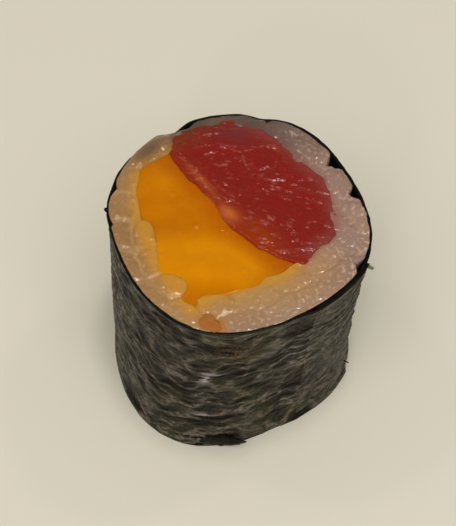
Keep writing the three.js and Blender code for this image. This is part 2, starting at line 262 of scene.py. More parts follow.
def finish_piece(piece, material, slot, *nodes):
    """To metres, smooth, dressed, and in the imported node's stead."""
    piece.data.transform(Matrix.Scale(MM, 4))
    piece.data.shade_smooth()
    piece.data.materials.clear()
    piece.data.materials.append(material)
    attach(piece, "root")
    if nodes:
        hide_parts(*nodes)
    size = [round(v / MM, 1) for v in piece.dimensions]
    print(piece.name, len(piece.data.polygons), "faces,", size, "mm")


# %% Noise and dice
def noise_at(points, size, seed=0.0):
    """Soft noise, about -1 to 1. The size of its blobs is in mm, one number or one for each axis."""
    return np.array([noise.noise(p) for p in (np.asarray(points) / size + seed).tolist()])


def ridges_at(points, size, seed=0.0, octaves=3):
    """Sharp crests with broad hollows between them, about 0 to 1."""
    values = [
        noise.ridged_multi_fractal(p, 1.0, 2.1, octaves, 1.0, 1.8)
        for p in (np.asarray(points) / size + seed).tolist()
    ]
    return np.clip(np.array(values) / 1.9, 0, 1)


def dice(seed):
    """Draws numbers in a range. The same seed always gives the same ones."""
    state = seed

    def draw(low, high):
        nonlocal state
        state = (state * 1664525 + 1013904223) & 0xFFFFFFFF
        return low + (high - low) * state / 2**32

    return draw


print("noise", noise_at([[1.0, 2.0, 3.0]], 2.0).round(3), "dice", round(dice(31)(0, 1), 3))

# %% [markdown]
# ## Materials: the shared effect
#
# All four foods are wet, so a wet skin is built once as a node group: fine bumps that break up the
# highlights, and a roughness that changes from spot to spot. Each food's colour is its own. Numbers
# that are kept on its mesh say where one tint gives way to the next.


# %% Node helpers
def add_node(tree, kind, inputs=None, **settings):
    """Adds a node. An input is set to a value, or linked when the value is another node's socket."""
    node = tree.nodes.new(kind)
    for key, value in settings.items():
        setattr(node, key, value)
    for key, value in (inputs or {}).items():
        if isinstance(value, bpy.types.NodeSocket):
            tree.links.new(value, node.inputs[key])
        else:
            node.inputs[key].default_value = value
    return node


def math_node(tree, operation, a, b, clamp=False):
    node = add_node(tree, "ShaderNodeMath", {0: a, 1: b}, operation=operation, use_clamp=clamp)
    return node.outputs[0]


def mix_colour(tree, share, a, b):
    """Socket numbers 6, 7 and 2 are a Mix node's two colours and its result."""
    node = add_node(tree, "ShaderNodeMix", {0: share, 6: a, 7: b}, data_type="RGBA")
    return node.outputs[2]


def range_node(tree, value, low, high, to_low=0.0, to_high=1.0):
    node = add_node(tree, "ShaderNodeMapRange", {
        "Value": value, "From Min": low, "From Max": high, "To Min": to_low, "To Max": to_high,
    })
    return node.outputs["Result"]


def noise_node(tree, size_mm, detail=2.0, stretch=(1, 1, 1)):
    """A noise texture on the piece's own coordinates, with blobs of about this size."""
    place = add_node(tree, "ShaderNodeTexCoord").outputs["Object"]
    scaled = add_node(tree, "ShaderNodeMapping", {0: place, 3: stretch}).outputs[0]
    node = add_node(tree, "ShaderNodeTexNoise", {
        "Vector": scaled, "Scale": 1 / (size_mm * MM), "Detail": detail,
    })
    return node.outputs["Fac"]


def attribute_node(tree, name):
    return add_node(tree, "ShaderNodeAttribute", attribute_name=name).outputs["Fac"]


def tinted(tree, colour, name, tint, far=0.0, near=1.0, share=1.0):
    """A colour that goes towards a tint as a number on the mesh goes from far to near."""
    amount = range_node(tree, attribute_node(tree, name), far, near, 0.0, share)
    return mix_colour(tree, amount, colour, (*tint, 1))


print("node helpers are ready, and 1 mm is", MM, "in a shader")

# %% Group: wet skin
COARSE_WEIGHT = 2.0
NOISE_LOW, NOISE_HIGH = 0.35, 0.65
WET_SKIN = bpy.data.node_groups.new("wet_skin", "ShaderNodeTree")
for label, default in (
    ("Fine", 0.5), ("Coarse", 0.5), ("Depth", 0.00003), ("Smoothest", 0.15), ("Roughest", 0.45),
):
    socket = WET_SKIN.interface.new_socket(label, in_out="INPUT", socket_type="NodeSocketFloat")
    socket.default_value = default
for label, kind in (("Normal", "NodeSocketVector"), ("Roughness", "NodeSocketFloat")):
    WET_SKIN.interface.new_socket(label, in_out="OUTPUT", socket_type=kind)
given = add_node(WET_SKIN, "NodeGroupInput").outputs
result = add_node(WET_SKIN, "NodeGroupOutput").inputs
coarse = math_node(WET_SKIN, "MULTIPLY", given["Coarse"], COARSE_WEIGHT)
height = math_node(WET_SKIN, "ADD", given["Fine"], coarse)
relief = add_node(WET_SKIN, "ShaderNodeBump", {"Height": height, "Distance": given["Depth"]})
rough = range_node(
    WET_SKIN, given["Coarse"], NOISE_LOW, NOISE_HIGH, given["Smoothest"], given["Roughest"]
)
WET_SKIN.links.new(relief.outputs[0], result["Normal"])
WET_SKIN.links.new(rough, result["Roughness"])
print("groups", [g.name for g in bpy.data.node_groups])


# %% Making and finishing a material
def new_material(name):
    """A material with its tree and its shader."""
    material = bpy.data.materials.new(name)
    material.use_nodes = True
    return material, material.node_tree, material.node_tree.nodes["Principled BSDF"]


def wear(tree, shader, colour, fine, coarse, depth, roughness, settings):
    """Links a colour and a wet skin to the shader, and sets what is the same all over the piece."""
    coat = add_node(tree, "ShaderNodeGroup", {
        "Fine": fine, "Coarse": coarse, "Depth": depth,
        "Smoothest": roughness[0], "Roughest": roughness[1],
    }, node_tree=WET_SKIN).outputs
    tree.links.new(colour, shader.inputs["Base Color"])
    tree.links.new(coat["Normal"], shader.inputs["Normal"])
    tree.links.new(coat["Roughness"], shader.inputs["Roughness"])
    for key, value in settings.items():
        shader.inputs[key].default_value = value


print("a wet skin has", [socket.name for socket in WET_SKIN.interface.items_tree])

# %% [markdown]
# ## Nori
#
# Nori is a sheet of dried, pressed seaweed, 0.3 mm thick once the rice has wetted it. It is wound
# once round, and ends on its own start with a short lap. Wet nori crinkles: long low wrinkles run
# round the roll, and the grains behind it push soft lumps into it. The sheet is a grid of points
# that is rolled up, so the wrinkles can be true relief. They are noise on the flat sheet, bent a
# little and stretched along it, and they only go inwards from the sheet's own outline.

# %% Nori values
THICKNESS = 0.3
FLAP_EDGE, LAP, CLIMB = 341, 36, 13
LAP_AIR, FLAP_LIFT = 0.06, 0.05
RIM_WAVES = [(3, 0.09, 23), (8, 0.06, 11)]
RIM_DIP_AT, RIM_DIP_SPREAD, RIM_DIP = 137, 15, 0.55
BELOW_CUT = 0.08
FRAY, FRAYED_ARC, CORNER = 1.2, 8, 1.6
SHEET_COLUMNS, SHEET_ROWS = 780, 190
WRINKLES, WRINKLE_DEPTH = np.array([3.4, 1.3, 1.0]), 0.36
FOLDS, FOLD_DEPTH = np.array([1.5, 0.55, 1.0]), 0.18
LUMP_DEPTH = 0.06
FOOT_FOLD = (264, 1.0)

# Soft spots on the sheet: angle, height, arc in degrees, height in mm and strength.
FOLD_BED = (*FOOT_FOLD, 26, 2.6, 0.34)
# Painted sheen: pale spots on the crests where the wet nori shines.
SHEEN_SPOTS = [(258, 13.4, 13, 1.8, 1.0), (258, 5.8, 9, 1.2, 0.8), (300, 15, 30, 5, 0.25)]
RUST_SPOT = (271, 18.2, 18, 3.0, 1.0)


def rim_height(angle):
    dip = RIM_DIP * bump(angle, RIM_DIP_AT, RIM_DIP_SPREAD)
    return HEIGHT - BELOW_CUT + wave_sum(RIM_WAVES, angle) - dip


print("nori", THICKNESS, "mm thick, once round and", LAP, "degrees more")

# %% Nori relief
turned = np.linspace(0, 360 + LAP, SHEET_COLUMNS)[:, None]
share = np.linspace(0, 1, SHEET_ROWS)[None, :]
at_end = smoothstep(turned, 360 + LAP - FRAYED_ARC, 360 + LAP)
torn = noise_at(np.column_stack([0 * share[0], HEIGHT * share[0], 0 * share[0]]), 1.1, 6.6)
angle = FLAP_EDGE - 360 - LAP + turned + FRAY * torn * at_end
z = share * (rim_height(angle) - CORNER * at_end**3)
along = np.radians(turned) * RIM_RADIUS + 0 * z
flat = np.stack([along, z, 0 * z], -1).reshape(-1, 3)
flat[:, 1] += 1.6 * noise_at(flat, 8.0, 3.1) + 0.9 * noise_at(flat, 2.4, 7.7)
wrinkle = ridges_at(flat, WRINKLES, 1.3, 1).reshape(z.shape) * 1.25
fold = ridges_at(flat, FOLDS, 4.6, 2).reshape(z.shape)
lumps = noise_at(flat, np.array([3.4, 2.6, 1.0]), 5.9).reshape(z.shape)
crest = 0.6 * wrinkle + 0.4 * fold
edge_fade = 0.3 + 0.7 * smoothstep(z, 0, 1.5) * smoothstep(HEIGHT - z, 0, 1.4)
under_lap = smoothstep(turned, LAP * 0.9, LAP * 1.2)
dent = WRINKLE_DEPTH * (1 - wrinkle) + FOLD_DEPTH * (1 - fold) + LUMP_DEPTH * (0.5 - 0.5 * lumps)
dent = np.maximum(dent, 0) * edge_fade * under_lap


def wall_spot(at, up, arc, height, strength):
    """A soft spot on the sheet: its strength in its middle, about a third of it at its edge."""
    return strength * bump(angle, at, arc / 2) * np.exp(-(((z - up) / (height / 2)) ** 2))


dent = np.maximum(dent, wall_spot(*FOLD_BED))
print("crests", np.percentile(crest, [5, 50, 95]).round(2), "deepest dent", round(dent.max(), 2), "mm")

# %% Nori sheet
climbed = smoothstep(turned, 360 - CLIMB, 360) * (THICKNESS + LAP_AIR)
lifted = FLAP_LIFT * smoothstep(turned, 360 + LAP / 2, 360 + LAP) * share**2
inward = 0.02 + dent - climbed - lifted
outer, inner = roll_point(angle, z, inward), roll_point(angle, z, inward + THICKNESS)
count = SHEET_COLUMNS * SHEET_ROWS
faces = grid_faces(SHEET_COLUMNS, SHEET_ROWS) + grid_faces(SHEET_COLUMNS, SHEET_ROWS, count, flip=True)
top = SHEET_ROWS - 1
for i in range(SHEET_COLUMNS - 1):
    a, b = i * SHEET_ROWS, (i + 1) * SHEET_ROWS
    faces.append((a + top, b + top, count + b + top, count + a + top))
    faces.append((a, count + a, count + b, b))
for j in range(SHEET_ROWS - 1):
    last = (SHEET_COLUMNS - 1) * SHEET_ROWS
    faces.append((j, j + 1, count + j + 1, count + j))
    faces.append((last + j, count + last + j, count + last + j + 1, last + j + 1))
nori = new_object("nori_sheet", np.vstack([outer.reshape(-1, 3), inner.reshape(-1, 3)]), faces)
# The crest number also colours the nori. Black in the hollows is painted shade, and the lighter crests
# are partly drier nori and partly a painted highlight. It is a little higher towards the foot. It is 0
# at the cut edge and on the whole inner side, which paints them with the hollows' black: painted shade,
# and at the cut edge partly the nori's own dark edge.
cut_edge = smoothstep(rim_height(angle) - z, 0.0, 0.22)
crest = (crest + 0.05 * smoothstep(8 - z, 0, 6)) * cut_edge
sheen = sum(wall_spot(*at) for at in SHEEN_SPOTS) * smoothstep(crest, 0.46, 0.62)
rust = wall_spot(*RUST_SPOT)
olive = 0.06 * smoothstep(noise_at(flat, 3.0, 16.4).reshape(z.shape), 0.1, 0.5)
for name, values in (("crest", crest), ("sheen", sheen), ("rust", rust), ("olive", olive)):
    paint(nori, name, np.concatenate([values.ravel(), 0 * values.ravel()]))
print("nori sheet of", count, "points on each side")

# %% Nori finish
material, tree, shader = new_material("nori")
patches, specks = noise_node(tree, 3.5), noise_node(tree, 0.3, 3.0)
crests = attribute_node(tree, "crest")
# Painted shade: the hollows between the wrinkles go nearly black.
hollows = range_node(tree, crests, 0.28, 0.40)
colour = mix_colour(tree, hollows, (0.002, 0.0015, 0.001, 1), (0.020, 0.0193, 0.0129, 1))
dashes = range_node(tree, noise_node(tree, 0.55, 3.0, (1, 1, 2)), 0.40, 0.60, 0.15, 1.1)
patchy = math_node(tree, "MULTIPLY", range_node(tree, patches, 0.3, 0.6, 1.0, 0.55), dashes)
# The crests are lighter: partly drier nori, partly a painted highlight.
lit_dry_crests = math_node(tree, "MULTIPLY", range_node(tree, crests, 0.42, 0.60), patchy)
colour = mix_colour(tree, lit_dry_crests, colour, (0.21, 0.168, 0.125, 1))
colour = tinted(tree, colour, "olive", (0.24, 0.25, 0.06))
rust_specks = range_node(tree, specks, 0.48, 0.62)
rusty = math_node(tree, "MULTIPLY", attribute_node(tree, "rust"), rust_specks, clamp=True)
colour = mix_colour(tree, rusty, colour, (0.13, 0.06, 0.012, 1))
# Painted sheen on the crests.
colour = tinted(tree, colour, "sheen", (0.55, 0.50, 0.52))
wear(tree, shader, colour, noise_node(tree, 0.16, 3.0), specks, 0.00003, (0.3, 0.55), {
    "Specular IOR Level": 0.14, "Specular Tint": (1.0, 0.86, 0.68, 1),
})
NORI_MATERIAL = material
finish_piece(nori, material, "seaweed", "seaweed")

# %% [markdown]
# ## Outlines of the fillings
#
# Both fillings are strips, so one outline on the cut face says what each is all the way down. They
# share the line on which they meet. A closed curve through a few points gives each outline.

# %% Filling outlines
MEETING_LINE = [
    (-7.2, 9.2), (-5.6, 6.0), (-4.1, 4.1), (-2.7, 2.3), (-1.3, -0.2), (0.8, -2.4), (3.0, -4.1),
    (5.8, -5.5),
]
TUNA_BACK = [
    (6.8, -5.5), (8.1, -3.7), (9.6, -2.4), (10.0, -0.2), (8.8, 4.7), (7.1, 6.7), (5.3, 9.2),
    (1.9, 11.9), (-0.8, 12.9), (-2.6, 12.1), (-4.6, 11.8), (-6.7, 10.8),
]
MANGO_BACK = [
    (-8.6, 8.0), (-10.1, 6.3), (-10.5, 3.4), (-10.2, 0.3), (-9.4, -2.8), (-8.3, -6.0), (-6.6, -8.6),
    (-5.2, -10.7), (-4.2, -11.5), (-3.0, -10.2), (-0.8, -9.5), (2.5, -8.0), (4.7, -7.2), (5.8, -6.2),
]
TUNA_OUTLINE = TUNA_BACK + MEETING_LINE
MANGO_OUTLINE = MANGO_BACK + MEETING_LINE[::-1]


def curve_through(control, steps):
    """A closed smooth curve through its control points, with `steps` points from one to the next."""
    p1 = np.array(control, float)
    p0, p2, p3 = np.roll(p1, 1, 0), np.roll(p1, -1, 0), np.roll(p1, -2, 0)
    t = np.arange(steps)[:, None, None] / steps
    start, end = (p2 - p0) / 2, (p3 - p1) / 2
    curve = (2 * t**3 - 3 * t**2 + 1) * p1 + (t**3 - 2 * t**2 + t) * start
    curve = curve + (3 * t**2 - 2 * t**3) * p2 + (t**3 - t**2) * end
    return curve.transpose(1, 0, 2).reshape(-1, 2)


def spaced_evenly(curve, gap):
    """The same closed curve with points at even distances."""
    closed = np.vstack([curve, curve[:1]])
    length = np.concatenate([[0], np.cumsum(np.hypot(*np.diff(closed, axis=0).T))])
    at = np.linspace(0, length[-1], int(length[-1] / gap), endpoint=False)
    return np.stack([np.interp(at, length, closed[:, k]) for k in (0, 1)], -1)


def widened(curve, outward):
    """An anticlockwise curve moved along its own normals."""
    along = np.roll(curve, -1, 0) - np.roll(curve, 1, 0)
    along /= np.hypot(*along.T)[:, None]
    return curve + outward * np.stack([along[:, 1], -along[:, 0]], -1)


def is_inside(x, y, curve):
    ax, ay = curve.T
    bx, by = np.roll(curve, -1, 0).T
    with np.errstate(divide="ignore", invalid="ignore"):
        crosses = ((ay > y) != (by > y)) & (x < ax + (y - ay) / (by - ay) * (bx - ax))
    return crosses.sum() % 2 == 1


def distance_to(places, line):
    """How far each place is from the nearest point of a line."""
    nearest = np.full(len(places), np.inf)
    for x, y in line:
        nearest = np.minimum(nearest, np.hypot(places[:, 0] - x, places[:, 1] - y))
    return nearest


tuna_curve, mango_curve = curve_through(TUNA_OUTLINE, 12), curve_through(MANGO_OUTLINE, 12)
meeting_curve = curve_through(MEETING_LINE, 12)[: 12 * (len(MEETING_LINE) - 1)]
print("outlines of", len(tuna_curve), "and", len(mango_curve), "points")

# %% [markdown]
# ## A strip of filling
#
# The knife leaves a flat face with a soft edge, and the wet food swells a little after the cut. A
# strip is a skin through rings. They come out over the foot, go up the hidden side and in over the
# cut face, and most of them are on the cut face, where the detail is.


# %% Filling mesh
def strip(name, curve, middle, cut_height, lip_depth, lip_width, gap=0.13, rings=64):
    outline = spaced_evenly(curve, gap)
    middle = np.array(middle, float)
    reach = np.hypot(*(outline - middle).T)
    shares = 1 - (np.arange(rings) / rings) ** 1.25
    rows = [carry(mix(middle, outline, s), 0.0) for s in (0.25, 0.5, 0.75, 0.97)]
    edge = cut_height(outline) - lip_depth
    rows += [carry(outline, edge * up) for up in (0.01, 0.1, 0.3, 0.5, 0.7, 0.9, 0.97)]
    for s in shares:
        place = mix(middle, outline, s)
        lip = lip_depth * np.maximum(0, 1 - (1 - s) * reach / lip_width) ** 2
        row = carry(place, HEIGHT)
        row[:, 2] = cut_height(place) - lip
        rows.append(row)
    first, last = carry(middle[None], 0.0), carry(middle[None], HEIGHT)
    last[:, 2] = cut_height(middle[None])
    return new_object(name, *skin(rows, first, last))


def swell(places, heading, pitch, start=0.0):
    """A sine wave over the cut face that runs along a heading."""
    along, _ = along_and_across(places, heading)
    return np.sin(2 * np.pi * along / pitch + np.radians(start))


def on_face(places):
    return np.column_stack([places, np.zeros(len(places))])


def spot(places, middle, length, width, heading=0.0):
    """A soft spot: 1 in its middle, about a third at its edge."""
    along, across = along_and_across(places - np.array(middle), heading)
    return np.exp(-((along / (length / 2)) ** 2) - (across / (width / 2)) ** 2)


def marks(places, spots):
    """The highest of many soft spots. Each is x, y, length, width and heading."""
    highest = np.zeros(len(places))
    for x, y, *shape in spots:
        highest = np.maximum(highest, spot(places, (x, y), *shape))
    return highest


print("a spot at its edge", spot(np.array([[1.0, 0.0]]), (0, 0), 2, 2).round(2))

# %% [markdown]
# ## Mango
#
# The mango is soft and even, with two broad swells and hardly any grain. Its edge slips a little
# under the rice and under the tuna, as it does where soft foods are pressed together.

# %% Mango shape
MANGO_MIDDLE = (-5.0, -2.0)
MANGO_SWELL = dict(heading=70, pitch=9.5, start=35)
MANGO_BEADS = [
    (-5.9, 2.2), (-8.4, -1.4), (-5.9, -1.7), (-5.4, -1.9), (-1.3, -1.5), (2.7, -4.4), (-6.6, 3.0),
    (-4.3, -0.9), (4.4, -6.3), (-8.2, -3.2), (-7.7, -5.0), (0.6, -6.6), (-8.9, 3.6), (-3.4, -5.6),
]
mango_marks = [(x, y, 0.8, 0.55, 40 * x) for x, y in MANGO_BEADS]


def mango_height(places):
    face = on_face(places)
    soft = 0.06 * noise_at(face, 3.0, 2.2) + 0.02 * noise_at(face, 0.9, 4.4)
    return HEIGHT - 0.12 + 0.22 * swell(places, **MANGO_SWELL) + soft + 0.1 * marks(places, mango_marks)


mango = strip("mango_strip", widened(mango_curve, 0.15), MANGO_MIDDLE, mango_height, 0.12, 0.5)


def paint_mango(piece):
    places, _, _ = places_of(points_of(piece))
    paint(piece, "to_tuna", distance_to(places, meeting_curve))
    # Lighter on the lower part and at the upper left, where the two swells are, and less so towards the
    # right: partly the mango's own tone, partly painted light and shade over the swells.
    lower = 0.8 * smoothstep(-places[:, 1], 0.5, 4.0) * smoothstep(10.0 + places[:, 1], 0.0, 3.0)
    upper = 0.45 * spot(places, (-7.3, 4.6), 4.6, 3.2)
    uneven = 0.2 * smoothstep(noise_at(on_face(places), 2.4, 15.0), 0.0, 0.5)
    bright = np.clip(lower + upper + uneven, 0, 1) * smoothstep(4.5 - places[:, 0], 0.0, 4.0)
    paint(piece, "bright", bright)
    paint(piece, "dull", np.zeros(len(places)))
    print(piece.name, "is bright on", round(100 * (bright > 0.5).mean()), "% of its points")


paint_mango(mango)

# %% Mango finish
material, tree, shader = new_material("mango")
# The bright number lightens the mango: partly its own tone, partly painted light on the swells.
colour = tinted(tree, (0.572, 0.174, 0.0, 1), "bright", (0.78, 0.285, 0.0))
colour = tinted(tree, colour, "to_tuna", (0.50, 0.11, 0.0), 2.2, 0.0)
colour = tinted(tree, colour, "dull", (0.42, 0.155, 0.035))
fine, coarse = noise_node(tree, 0.45, 0.0), noise_node(tree, 1.2, 0.0)
wear(tree, shader, colour, fine, coarse, 0.000012, (0.14, 0.3), {
    "Specular IOR Level": 0.24, "Specular Tint": (1.0, 0.75, 0.3, 1), "Subsurface Weight": 0.5,
    "Subsurface Radius": (1.0, 0.45, 0.08), "Subsurface Scale": 0.0012,
})
MANGO_MATERIAL = material
finish_piece(mango, material, "mango", "mango")

# %% [markdown]
# ## Tuna
#
# Raw tuna is a bundle of soft fibres. The knife tears them a little, so the cut is a field of small
# wet lumps that lie along the grain of the fish, and short pale streaks where they catch the light,
# partly a painted highlight. Near the mango its thin edge glows orange, and a pale flap of it hangs
# over the line, with a painted highlight along the raised edge up the line from it. By the nori it
# is darker: painted shade. Where the colour changes from place to place, soft spots say so: one
# number for each point of the mesh.

# %% Tuna shape
TUNA_MIDDLE = (2.5, 4.0)
TUNA_GRAIN = -14
LUMP, STREAK = np.array([1.7, 0.8, 1.0]), np.array([0.75, 0.3, 1.0])


def along_grain(places):
    """Places told along the grain of the fish, which bends a little, and across it."""
    along, across = along_and_across(places, TUNA_GRAIN)
    bend = 1.6 * noise_at(on_face(places), 6.0, 8.8) + 0.4 * noise_at(on_face(places), 1.8, 6.1)
    return np.column_stack([along, across + bend, 0 * along])


# Torn fibres lie in bands: middle, spread along and across, heading and how many.
FIBRE_BANDS = [
    (1.6, 9.0, 2.6, 0.35, 4, 18), (-4.6, 6.3, 2.6, 0.3, -54, 12), (5.0, 4.0, 2.4, 1.6, -12, 14),
    (3.3, -0.2, 2.8, 0.8, -14, 14), (6.2, -2.6, 1.8, 1.0, -20, 5), (0.5, 6.5, 4.0, 2.0, -8, 12),
    (-1.6, 3.4, 1.6, 1.2, -30, 8), (6.8, 0.6, 1.8, 2.2, -10, 6),
]
draw = dice(31)
fibres = []
for x, y, along, across, heading, how_many in FIBRE_BANDS:
    c, s = unit(heading)
    for _ in range(how_many):
        a, b = along * draw(-1, 1), across * draw(-1, 1)
        length, width, turn = draw(0.25, 0.8), draw(0.18, 0.28), heading + draw(-25, 25)
        fibres.append((x + a * c - b * s, y + a * s + b * c, length, width, turn))
print(len(fibres), "torn fibres")


def tuna_height(places):
    quilt = swell(places, 25, 7.6) * swell(places, 115, 10.8, 90)
    grain_place = along_grain(places)
    lumps = 0.16 * noise_at(grain_place, LUMP, 9.2) + 0.035 * noise_at(grain_place, STREAK, 1.7)
    return HEIGHT + 0.08 + 0.16 * quilt + lumps + 0.06 * marks(places, fibres)


def paint_tuna(piece):
    """The numbers that colour tuna. Torn fibres and the crests of the grain are paler than the rest,
    partly their own colour and partly a painted highlight.
    """
    places, _, _ = places_of(points_of(piece))
    torn = 0.85 * smoothstep(marks(places, fibres), 0.15, 0.8)
    streaks = ridges_at(along_grain(places), np.array([1.1, 0.42, 1.0]), 5.1, 2)
    patchy = smoothstep(noise_at(on_face(places), 2.2, 3.9), -0.25, 0.35)
    to_mango = distance_to(places, meeting_curve)
    glow = spot(places, (2.2, -2.2), 6.0, 2.6, -42) + 0.6 * np.exp(-to_mango / 0.7)
    edge = np.exp(-((distance_to(places, tuna_curve) / 0.9) ** 2)) * smoothstep(places[:, 0], -2.0, 3.0)
    edge = edge * smoothstep(to_mango, 0.6, 1.8)
    # Pale: the flap's own salmon colour, and, weaker, a painted highlight along the raised edge of the
    # tuna up the meeting line from it.
    pale = spot(places, (-0.9, 0.5), 2.4, 1.5, -45) + 0.5 * spot(places, (-3.6, 4.6), 5.5, 0.8, -54)
    # Painted shade: darker and browner at the upper left, beside the nori.
    shade_by_nori = spot(places, (-6.3, 10.6), 4.6, 3.2, 20) + 0.5 * spot(places, (-3.2, 12.0), 5.0, 1.4, 5)
    paint(piece, "streak_and_highlight", np.maximum(torn, 0.35 * smoothstep(streaks, 0.56, 0.76) * patchy))
    paint(piece, "glow", np.clip(glow, 0, 1))
    paint(piece, "edge", edge)
    paint(piece, "pale", pale)
    paint(piece, "shade_by_nori", shade_by_nori)
    paint(piece, "plum", spot(places, (0.2, 11.3), 5.5, 3.0, 0))


ragged = 0.12 + 0.22 * noise_at(on_face(tuna_curve), 0.9, 14.0)[:, None]
tuna = strip("tuna_strip", widened(tuna_curve, ragged), TUNA_MIDDLE, tuna_height, 0.06, 0.25, 0.12, 88)
paint_tuna(tuna)

# %% Tuna finish
material, tree, shader = new_material("tuna")
colour = (0.25, 0.012, 0.006, 1)
for name, share, tint in (
    ("plum", 0.75, (0.17, 0.028, 0.032, 1)), ("shade_by_nori", 0.85, (0.17, 0.035, 0.010, 1)),
    ("glow", 0.9, (0.34, 0.034, 0.001, 1)), ("edge", 0.6, (0.26, 0.060, 0.045, 1)),
    ("pale", 0.9, (0.58, 0.14, 0.030, 1)), ("streak_and_highlight", 0.45, (0.48, 0.12, 0.085, 1)),
):
    amount = math_node(tree, "MULTIPLY", attribute_node(tree, name), share, clamp=True)
    colour = mix_colour(tree, amount, colour, tint)
fine, coarse = noise_node(tree, 0.3, 0.0), noise_node(tree, 0.7, 0.0)
wear(tree, shader, colour, fine, coarse, 0.00004, (0.12, 0.26), {
    "Specular IOR Level": 0.22, "Subsurface Weight": 0.3, "Subsurface Radius": (1.0, 0.2, 0.15),
    "Subsurface Scale": 0.0006,
})
finish_piece(tuna, material, "tuna", "tuna")

# %% [markdown]
# ## Rice
#
# Cooked short-grain rice is plump, wet and half clear, and the grains stick together. At the cut
# the knife has smeared them into a nearly level bed with only some edges left to see. Loose grains
# would look like gravel, and a plain slab like wax. So whole grains are laid on a core, the fillings
# are cut out, and a voxel remesh melts everything into one skin. Then the knife is pulled over it:
# what stands up too high is pressed down.
#
# The middle of the rice never shows. While the remesh runs, that part is squeezed flat, so the fine
# mesh is where it is seen.

# %% Rice values
GRAIN_LENGTH, GRAIN_WIDTH = 5.2, 2.4
RICE_INMOST, RICE_SPACING, TO_FILLING, TO_SEAWEED, THROWS = 7, 2.35, 0.75, 1.0, 900
CORE_SUNK, CORE_OVER = 0.06, 0.25
BED_VOXEL, FINE_VOXEL = 0.2, 0.14
HIDDEN = (2.6, 19.4)
SQUEEZED = 0.8

# Angle, distance, turn, length, width, lift of the grains that show whole.
SHOWN_GRAINS = [
    (137, 12.7, 0, 6.4, 2.3, -0.3), (157, 12.2, 8, 4.0, 2.4, -0.6), (174, 12.0, -4, 4.0, 2.6, -0.6),
    (191, 12.1, 2, 4.2, 2.4, -0.75), (195, 9.7, -5, 4.4, 2.3, -0.45), (212, 10.3, -16, 4.2, 2.3, -0.4),
    (208, 12.5, 0, 4.9, 2.2, -0.7), (232, 10.8, 20, 3.4, 3.0, -0.6), (229, 12.9, 4, 4.8, 2.2, -0.75),
    (246, 12.7, -8, 4.2, 2.4, -0.65), (260, 11.0, 6, 4.4, 2.6, -0.45), (273, 12.8, -3, 4.8, 2.3, -0.65),
    (330, 10.2, -13, 5.2, 2.6, -0.6), (0, 12.1, -5, 4.4, 2.4, -0.65), (23, 11.3, 4, 4.6, 2.4, -0.6),
    (40, 11.9, -12, 3.4, 2.2, -0.65), (51, 11.6, -12, 4.8, 2.3, -0.6), (67, 13.0, 0, 5.0, 1.9, -0.8),
]

# Gaps beside the nori, wide ones and slits: angle, arc in degrees, width and depth.
HOLES = [(36, 11, 1.5, 2.4), (15, 9, 1.1, 2.2), (334, 9, 0.8, 2.6)]
SLITS = [(113, 12, 0.5, 1.2), (76, 4, 0.5, 1.2), (163, 8, 0.45, 1.0), (183, 6, 0.3, 0.8)]
SCRAP_ANGLE, SCRAP_FROM, SCRAP_HEADING = 258.5, 13.15, 330
SCRAP_SIZE, SCRAP_SUNK = (3.1, 1.7, 1.9), 0.34
print(len(SHOWN_GRAINS), "grains show whole beside", len(HOLES), "gaps and", len(SLITS), "slits")


# %% Squeeze and stretch
def squeezed(points):
    points = np.array(points, float)
    low, high = HIDDEN
    middle = np.clip(points[:, 2] - low, 0, high - low)
    points[:, 2] -= middle * (1 - SQUEEZED / (high - low))
    return points


def stretched(points):
    points = np.array(points, float)
    low, high = HIDDEN
    middle = np.clip(points[:, 2] - low, 0, SQUEEZED)
    points[:, 2] += middle * ((high - low) / SQUEEZED - 1)
    return points


print("squeezed", HEIGHT, "mm to", squeezed([[0, 0, HEIGHT]])[0, 2].round(2))

# %% One grain
def grain(length, width, bend=0.0):
    """A plump body along X round the origin, with blunt ends."""
    turn = np.linspace(0, 2 * np.pi, 14, endpoint=False)
    rings = []
    for t in np.sin(np.linspace(-1.35, 1.35, 11)):
        thick = width / 2 * (1 - abs(t) ** 2.6) ** 0.45
        off = bend * t * t
        rings.append(np.column_stack([
            np.full(14, t * length / 2), thick * np.cos(turn) + off, thick * np.sin(turn),
        ]))
    return skin(rings, [[-length / 2, bend, 0]], [[length / 2, bend, 0]])


def turned_by(points, roll, pitch, yaw):
    turn = Matrix.Rotation(yaw, 3, "Z") @ Matrix.Rotation(pitch, 3, "Y") @ Matrix.Rotation(roll, 3, "X")
    return points @ np.array(turn).T


def lay(angle, distance, turn, length, width, lift, z=HEIGHT, pitch=0.0, roll=0.0):
    """A grain laid round the roll: the angle and distance of its middle, and its turn off that."""
    place = distance * unit(angle)[None]
    points, faces = grain(length, width, 0.05 * length)
    points = turned_by(points, np.radians(roll), np.radians(pitch), np.radians(angle + 90 + turn))
    points = points + carry(place, z) + [0, 0, lift]
    return points, faces


print("a grain is", np.ptp(grain(GRAIN_LENGTH, GRAIN_WIDTH)[0], axis=0).round(2), "mm")

